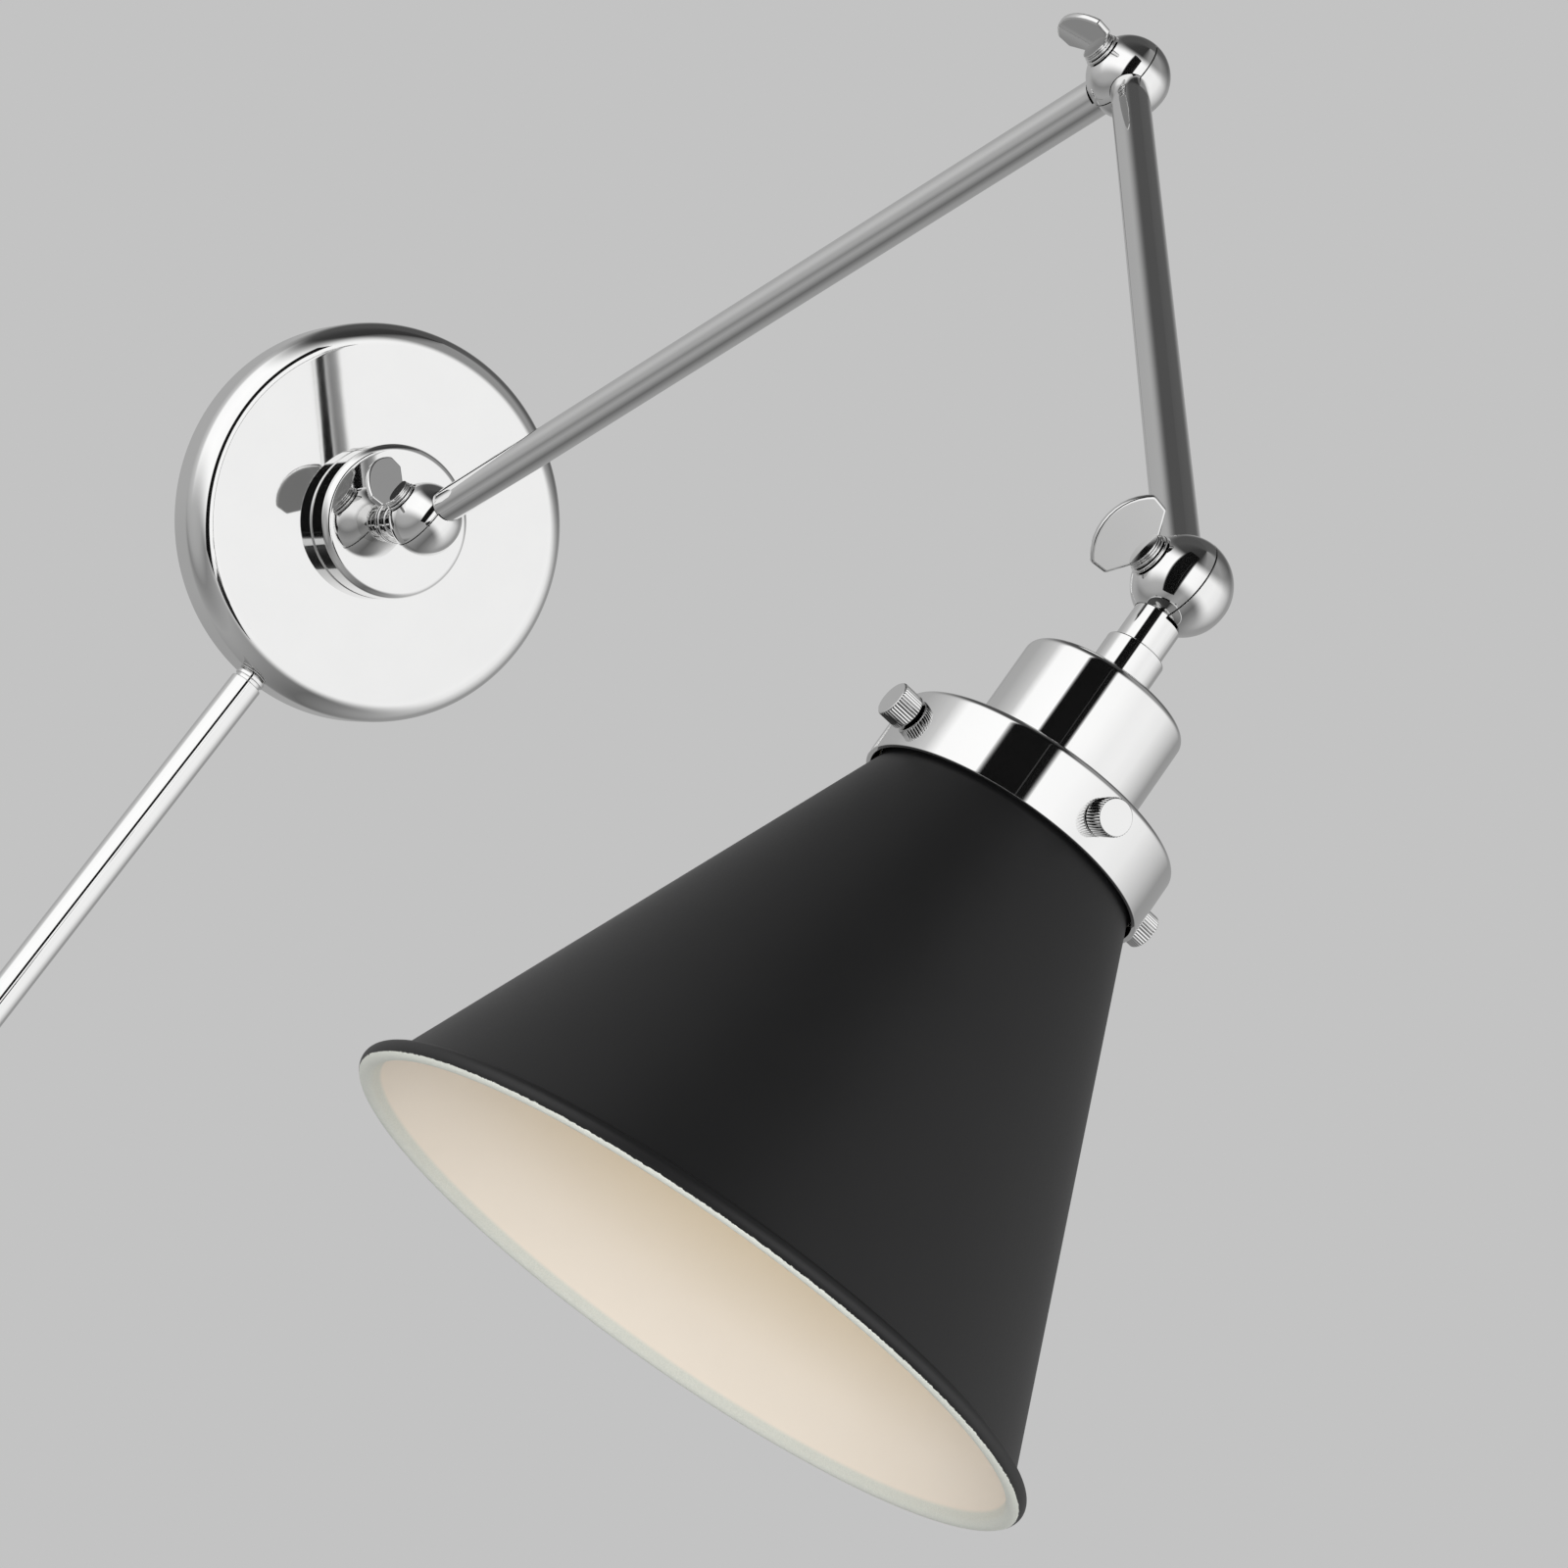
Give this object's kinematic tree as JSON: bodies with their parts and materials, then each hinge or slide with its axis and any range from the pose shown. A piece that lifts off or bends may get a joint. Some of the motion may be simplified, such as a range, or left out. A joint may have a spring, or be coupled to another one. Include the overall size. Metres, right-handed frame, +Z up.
{
  "type": "swing arm wall sconce",
  "caption": "Swing arm wall sconce: round polished canopy with a swivelling boss, tubular arms joined by split-ball paddle pivots, and a black conical shade in a thumbscrewed collar.",
  "frame": {"origin": "centre of the canopy on the wall plane", "axes": "+Y into the wall, so the sconce stands out along -Y; +Z up; +X to the right of someone facing the wall"},
  "size_m": [0.1726, 0.6598, 0.4307],
  "materials": {
    "polished_nickel": "mirror polished, warm nickel",
    "plated_steel": "zinc plated",
    "brass": "turned",
    "fibre": "vulcanised fibre",
    "black_phenolic": "moulded, satin",
    "black_paint": "matte black outside, cream inside"
  },
  "bodies": {
    "canopy": {"wall_canopy": "polished_nickel", "mounting_strap": "plated_steel", "canopy_screw_left": "polished_nickel", "canopy_screw_right": "polished_nickel", "cord_tube_nipple": "polished_nickel", "cord_tube_nut": "brass", "cord_tube": "polished_nickel"},
    "boss": {"swivel_boss": "polished_nickel", "stem": "polished_nickel", "stem_spring_washer": "plated_steel", "stem_nut": "brass", "stem_ball_half": "polished_nickel", "wall_ball_nut": "brass"},
    "lower_arm": {"lower_arm_wall_half": "polished_nickel", "lower_arm_tube": "polished_nickel", "lower_arm_elbow_half": "polished_nickel", "elbow_ball_nut": "brass", "wall_friction_washer": "fibre", "wall_paddle_washer": "polished_nickel"},
    "upper_arm": {"upper_arm_elbow_half": "polished_nickel", "upper_arm_tube": "polished_nickel", "upper_arm_head_half": "polished_nickel", "head_ball_nut": "brass", "elbow_friction_washer": "fibre", "elbow_paddle_washer": "polished_nickel"},
    "head": {"head_ball_half": "polished_nickel", "neck_tube": "polished_nickel", "neck_sleeve": "polished_nickel", "neck_nut": "brass", "socket_cap": "polished_nickel", "lampholder_body": "black_phenolic", "screw_shell": "brass", "centre_contact": "brass", "collar_clamp_ring": "black_phenolic", "shade_collar": "polished_nickel", "shade": "black_paint", "head_friction_washer": "fibre", "head_paddle_washer": "polished_nickel"},
    "wall_paddle": {"wall_paddle_screw": "polished_nickel"},
    "elbow_paddle": {"elbow_paddle_screw": "polished_nickel"},
    "head_paddle": {"head_paddle_screw": "polished_nickel"},
    "left_thumbscrew": {"thumbscrew_left": "polished_nickel"},
    "front_thumbscrew": {"thumbscrew_front": "polished_nickel"},
    "right_thumbscrew": {"thumbscrew_right": "polished_nickel"},
    "back_thumbscrew": {"thumbscrew_back": "polished_nickel"}
  },
  "joints": [
    {"name": "boss_swivel", "type": "hinge", "parent": "canopy", "child": "boss", "pos_m": [0, 0, 0], "axis": [0, -1, 0], "range_deg": [-160, 160]},
    {"name": "wall_pivot", "type": "hinge", "parent": "boss", "child": "lower_arm", "pos_m": [0, -0.0548, 0], "axis": [1, 0, 0], "range_deg": [-55, 60]},
    {"name": "elbow_pivot", "type": "hinge", "parent": "lower_arm", "child": "upper_arm", "pos_m": [0, -0.334, 0.15096], "axis": [1, 0, 0], "range_deg": [-100, 50]},
    {"name": "head_pivot", "type": "hinge", "parent": "upper_arm", "child": "head", "pos_m": [0, -0.56733, -0.03664], "axis": [1, 0, 0], "range_deg": [-120, 60]},
    {"name": "wall_paddle_turn", "type": "hinge", "parent": "lower_arm", "child": "wall_paddle", "pos_m": [0, -0.0548, 0], "axis": [-1, 0, 0], "continuous": true},
    {"name": "elbow_paddle_turn", "type": "hinge", "parent": "upper_arm", "child": "elbow_paddle", "pos_m": [0, -0.334, 0.15096], "axis": [-1, 0, 0], "continuous": true},
    {"name": "head_paddle_turn", "type": "hinge", "parent": "head", "child": "head_paddle", "pos_m": [0, -0.56733, -0.03664], "axis": [-1, 0, 0], "continuous": true},
    {"name": "left_thumbscrew_turn", "type": "hinge", "parent": "head", "child": "left_thumbscrew", "pos_m": [0, -0.56944, -0.10369], "axis": [-1, 0, 0], "continuous": true},
    {"name": "front_thumbscrew_turn", "type": "hinge", "parent": "head", "child": "front_thumbscrew", "pos_m": [0, -0.56944, -0.10369], "axis": [0, -0.9995, 0.0314], "continuous": true},
    {"name": "right_thumbscrew_turn", "type": "hinge", "parent": "head", "child": "right_thumbscrew", "pos_m": [0, -0.56944, -0.10369], "axis": [1, 0, 0], "continuous": true},
    {"name": "back_thumbscrew_turn", "type": "hinge", "parent": "head", "child": "back_thumbscrew", "pos_m": [0, -0.56944, -0.10369], "axis": [0, 0.9995, -0.0314], "continuous": true}
  ]
}
